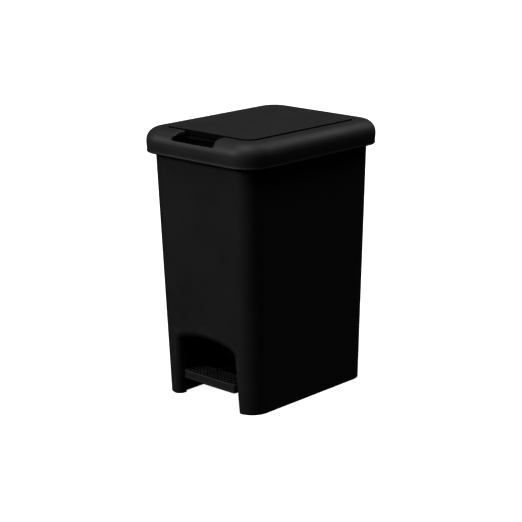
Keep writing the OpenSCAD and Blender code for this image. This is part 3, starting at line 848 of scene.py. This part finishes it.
# ---------- pedal ----------

DASH_ROWS, DASH_COLUMNS = 4, 13
DASH_RISE = 0.5
DASH_STEPS = ((-0.2, 0.0), (0.25, 0.0), (0.4, 0.1), (DASH_RISE, 0.3))
DASH_SHARE_X, DASH_SHARE_Y = 0.34, 0.13
PAD_EDGE_X, PAD_EDGE_Y = 2.5, 1.5


def build_tread_pad():
    """Rubber pad with rows of short raised dashes."""
    size = pad_high - pad_low
    middle_y = (pad_low.y + pad_high.y) / 2
    base_top = pad_high.z - DASH_RISE
    base = prism(size.x / 2, size.y / 2, 3.0, pad_low.z, base_top, middle_y, corner=8)
    soften(base, 0.3, 2)
    step_x = (size.x - 2 * PAD_EDGE_X) / DASH_COLUMNS
    step_y = (size.y - 2 * PAD_EDGE_Y) / DASH_ROWS
    half_x, half_y = DASH_SHARE_X * step_x, DASH_SHARE_Y * step_y
    verts, faces = [], []
    for row in range(DASH_ROWS):
        for column in range(DASH_COLUMNS):
            x = pad_low.x + PAD_EDGE_X + (column + 0.5) * step_x
            y = pad_low.y + PAD_EDGE_Y + (row + 0.5) * step_y
            rings = []
            for rise, shrink in DASH_STEPS:
                loop = ring(half_x - shrink, half_y - shrink, 0.3, base_top + rise, y, corner=2)
                rings.append([(a + x, b, c) for a, b, c in loop])
            dash_verts, dash_faces = loft(rings)
            start = len(verts)
            verts += dash_verts
            faces += [tuple(start + k for k in face) for face in dash_faces]
    return fuse(base, mesh_object(verts, faces))


finish_piece(build_tread_pad(), "tread_pad", "tread_pad_dashes")
finish_piece(from_cad("pedal_tread", 1.0, 4), "pedal_tread", "tread_moulding")


# ---------- hinge pins ----------

# (place along the pin, radius), from its inner end
PIN_STEPS = ((0.0, 1.5), (0.4, 1.9), (8.7, 1.9), (9.0, 1.6), (9.05, 0.6), (11.4, 0.6))


def build_hinge_pin(node):
    """Hinge pin with a thin neck where it crosses the gap beside the lid."""
    low, high = box_mm(node)
    mid = (low + high) / 2
    side = math.copysign(1, mid.x)
    start = min(abs(low.x), abs(high.x))
    loops = []
    for along, radius in PIN_STEPS:
        x = side * (start + along)
        loops.append([(x, mid.y + a, mid.z + b) for a, b in circle(radius, 24)])
    built = mesh_object(*loft(loops))
    edit(built)
    return built


for pin in ("hinge_pin_left", "hinge_pin_right"):
    finish_piece(build_hinge_pin(pin), pin)


# ---------- everything else keeps its CAD shape, with soft edges ----------

# width of each soft edge, in millimetres
SOFT_EDGES = {
    "base_plate": 0.6, "axle_bracket_left": 0.5, "axle_bracket_right": 0.5, "rod_duct": 0.6,
    "rod_guide_upper": 0.5, "rod_guide_lower": 0.4, "lid_liner": 0.5, "lid_crank": 0.4,
    "pedal_lever": 0.5, "lever_nose": 0.5, "rod_cap": 0.8, "rod_shoe": 0.8, "axle_caps": 0.5,
    "pedal_axle": 0.5, "push_rod": 0.4, "foot_pads": 0.6, "lid_bumpers": 0.4,
    "base_screws": 0.35, "bracket_screws": 0.35, "duct_screws": 0.35,
    "crank_screws": 0.35, "liner_screws": 0.35, "tread_screws": 0.35,
}
for node, width in SOFT_EDGES.items():
    finish_piece(from_cad(node, width, 2), node)


# ---------- stage, light and camera ----------

FLOOR_HALF = 14000.0
FLOOR_GLOW = 0.95
FILL = 0.006
BACKDROP = 0.95
# name: (direction it shines from, strength, spread in degrees)
SUNS = {
    "overhead": ((0.02, -0.24, 0.96), 1.85, 50.0),
    "back": ((0.15, 0.74, 0.66), 0.6, 34.0),
    "front_left": ((-0.5, -0.84, 0.46), 1.45, 20.0),
}
CAMERA_AZIMUTH = 42.35
CAMERA_ELEVATION = 15.34
CAMERA_DISTANCE = 2.653
CAMERA_AIM = (-0.006, 0.0034, 0.2086)
CAMERA_LENS = 112.32
CAMERA_SENSOR = 36.0


def build_floor():
    half = FLOOR_HALF
    verts = [(-half, -half, 0), (half, -half, 0), (half, half, 0), (-half, half, 0)]
    floor = mesh_object(verts, [(0, 1, 2, 3)], "floor")
    floor.data.materials.append(pale_floor("pale_floor"))
    floor.visible_glossy = False
    floor.visible_diffuse = False


def sun(name, direction, strength, spread):
    """Distant soft light shining from direction towards the can."""
    data = bpy.data.lights.new(name, "SUN")
    data.energy = strength
    data.angle = math.radians(spread)
    lamp = bpy.data.objects.new(name, data)
    lamp.rotation_euler = Vector(direction).to_track_quat("Z", "Y").to_euler()
    bpy.context.scene.collection.objects.link(lamp)


def build_world():
    """Faint even fill light, seen by the camera as a pale backdrop."""
    world = bpy.data.worlds.new("studio")
    world.use_nodes = True
    tree = world.node_tree
    background = tree.nodes["Background"]
    background.inputs["Color"].default_value = (1.0, 1.0, 1.0, 1.0)
    background.inputs["Strength"].default_value = FILL
    pale = tree.nodes.new("ShaderNodeBackground")
    pale.inputs["Color"].default_value = (1.0, 1.0, 1.0, 1.0)
    pale.inputs["Strength"].default_value = BACKDROP
    path = tree.nodes.new("ShaderNodeLightPath")
    mix = tree.nodes.new("ShaderNodeMixShader")
    tree.links.new(path.outputs["Is Camera Ray"], mix.inputs[0])
    tree.links.new(background.outputs[0], mix.inputs[1])
    tree.links.new(pale.outputs[0], mix.inputs[2])
    tree.links.new(mix.outputs[0], tree.nodes["World Output"].inputs["Surface"])
    bpy.context.scene.world = world


def build_camera():
    """Three-quarter view from the front right, a little above the lid."""
    azimuth = math.radians(CAMERA_AZIMUTH)
    elevation = math.radians(CAMERA_ELEVATION)
    back = Vector((
        math.sin(azimuth) * math.cos(elevation),
        -math.cos(azimuth) * math.cos(elevation),
        math.sin(elevation),
    ))
    data = bpy.data.cameras.new("camera")
    data.sensor_width = CAMERA_SENSOR
    data.lens = CAMERA_LENS
    data.clip_end = 60.0
    camera = bpy.data.objects.new("camera", data)
    camera.location = Vector(CAMERA_AIM) + back * CAMERA_DISTANCE
    camera.rotation_euler = back.to_track_quat("Z", "Y").to_euler()
    bpy.context.scene.collection.objects.link(camera)
    bpy.context.scene.camera = camera


build_floor()
build_world()
for name, (direction, strength, spread) in SUNS.items():
    sun(name, direction, strength, spread)
build_camera()
bpy.context.scene.view_settings.view_transform = "Standard"
